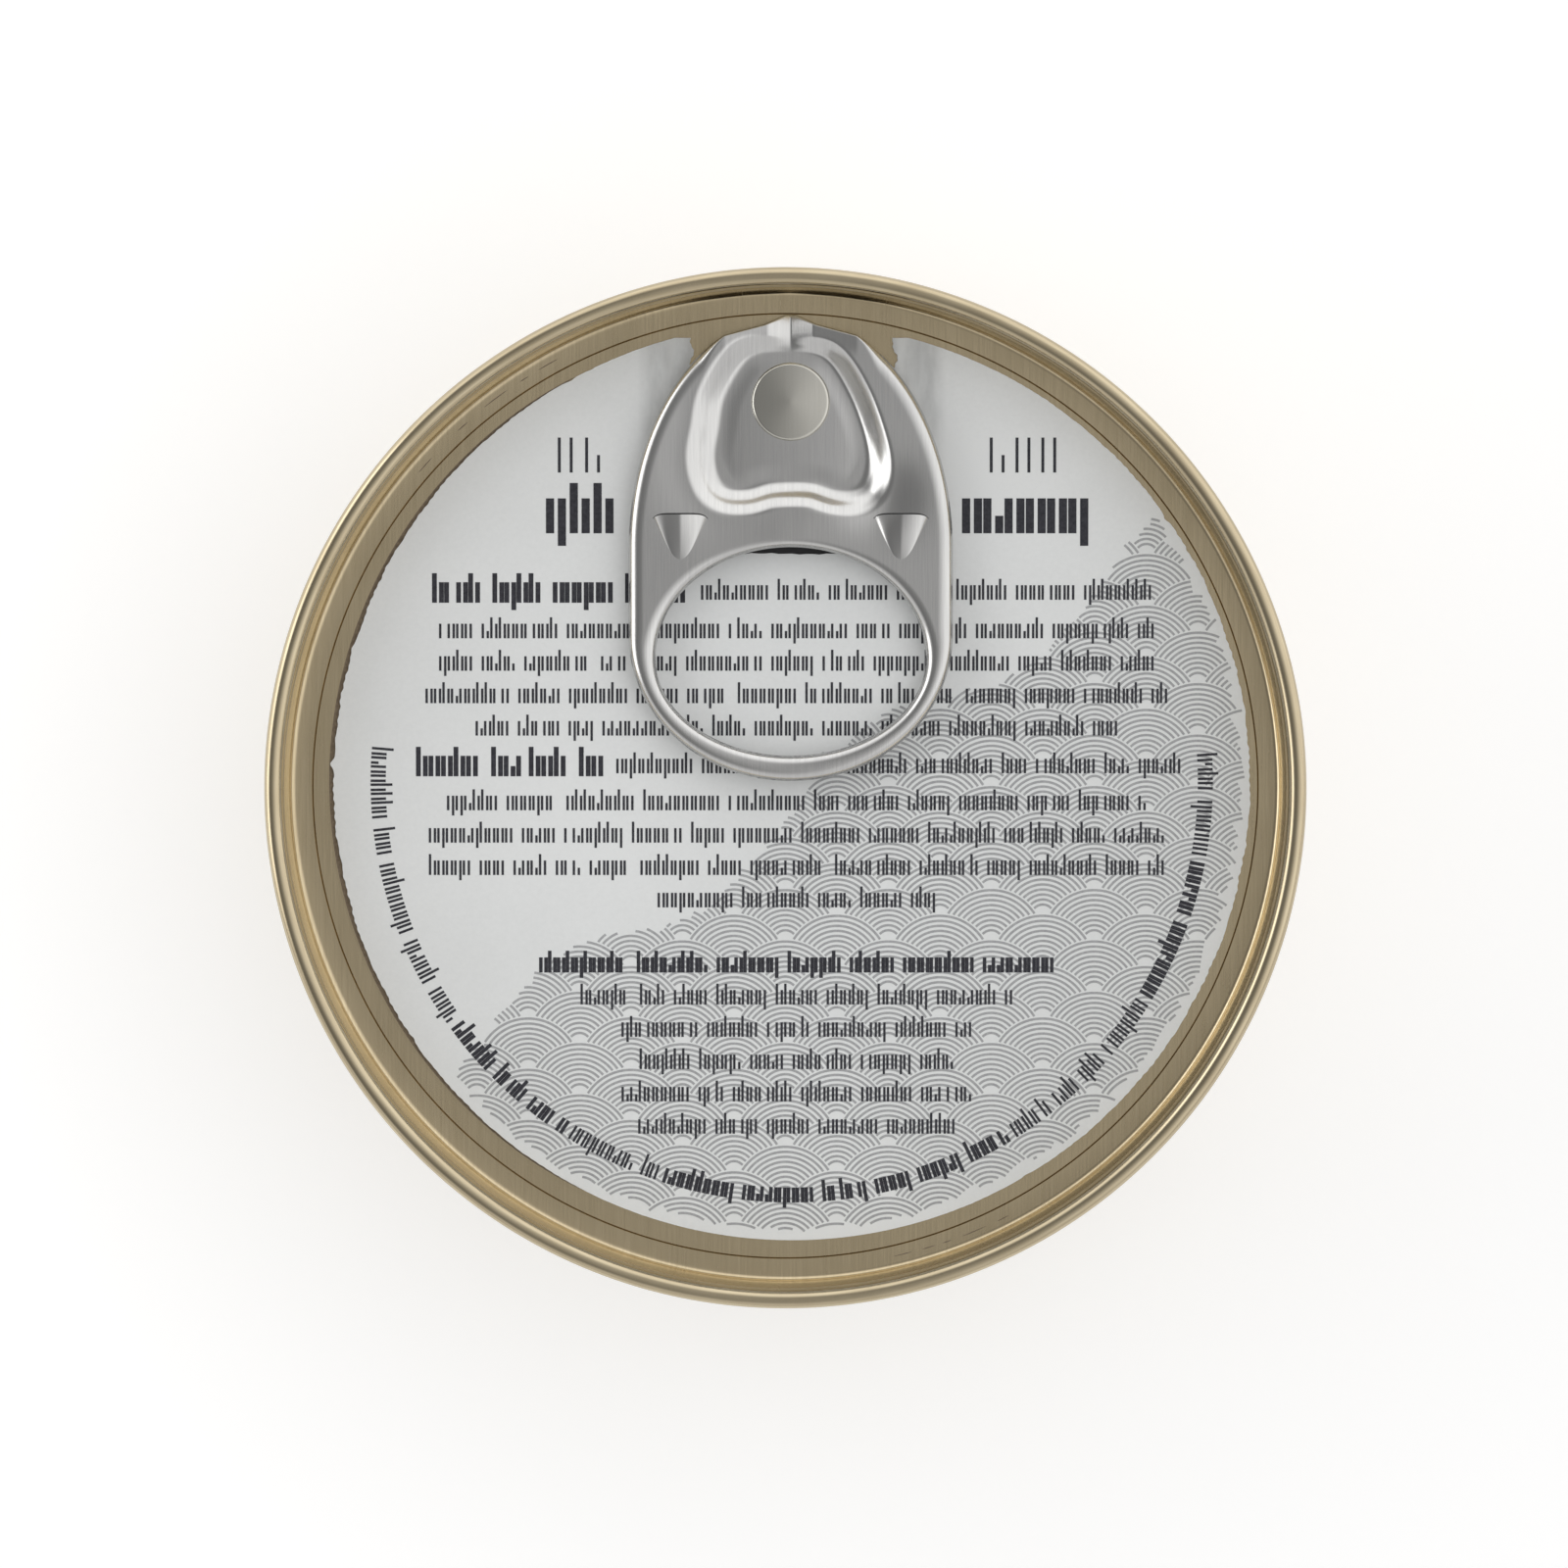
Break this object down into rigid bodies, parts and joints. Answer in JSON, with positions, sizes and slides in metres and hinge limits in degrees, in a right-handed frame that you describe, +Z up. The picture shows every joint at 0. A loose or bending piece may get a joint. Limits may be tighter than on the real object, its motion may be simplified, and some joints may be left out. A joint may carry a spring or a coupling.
{
  "type": "shut fish pate tin with ring pull",
  "caption": "Small round aluminium food tin, shut, with a seamed ring-pull lid, riveted pull and round paper label on the lid.",
  "frame": {"origin": "middle of the base, on the plane the foot ring stands on", "axes": "+Z up along the tin's axis, +Y from the tin's middle towards the pull's rivet and nose, +X to the right of that seen from above"},
  "size_m": [0.0683, 0.0682, 0.03],
  "materials": {
    "lacquered_body": "drawn aluminium under clear gold lacquer, satin",
    "lacquered_lid": "rolled aluminium sheet under clear gold lacquer, fine straight grain",
    "printed_paper": "matt grey-white label paper with dark grey print",
    "bare_aluminium": "bare rolled aluminium, fine straight grain, satin"
  },
  "bodies": {
    "root": {"tin_body": "lacquered_body", "lid": "lacquered_lid", "label": "printed_paper", "ring_pull": "bare_aluminium"}
  },
  "joints": []
}
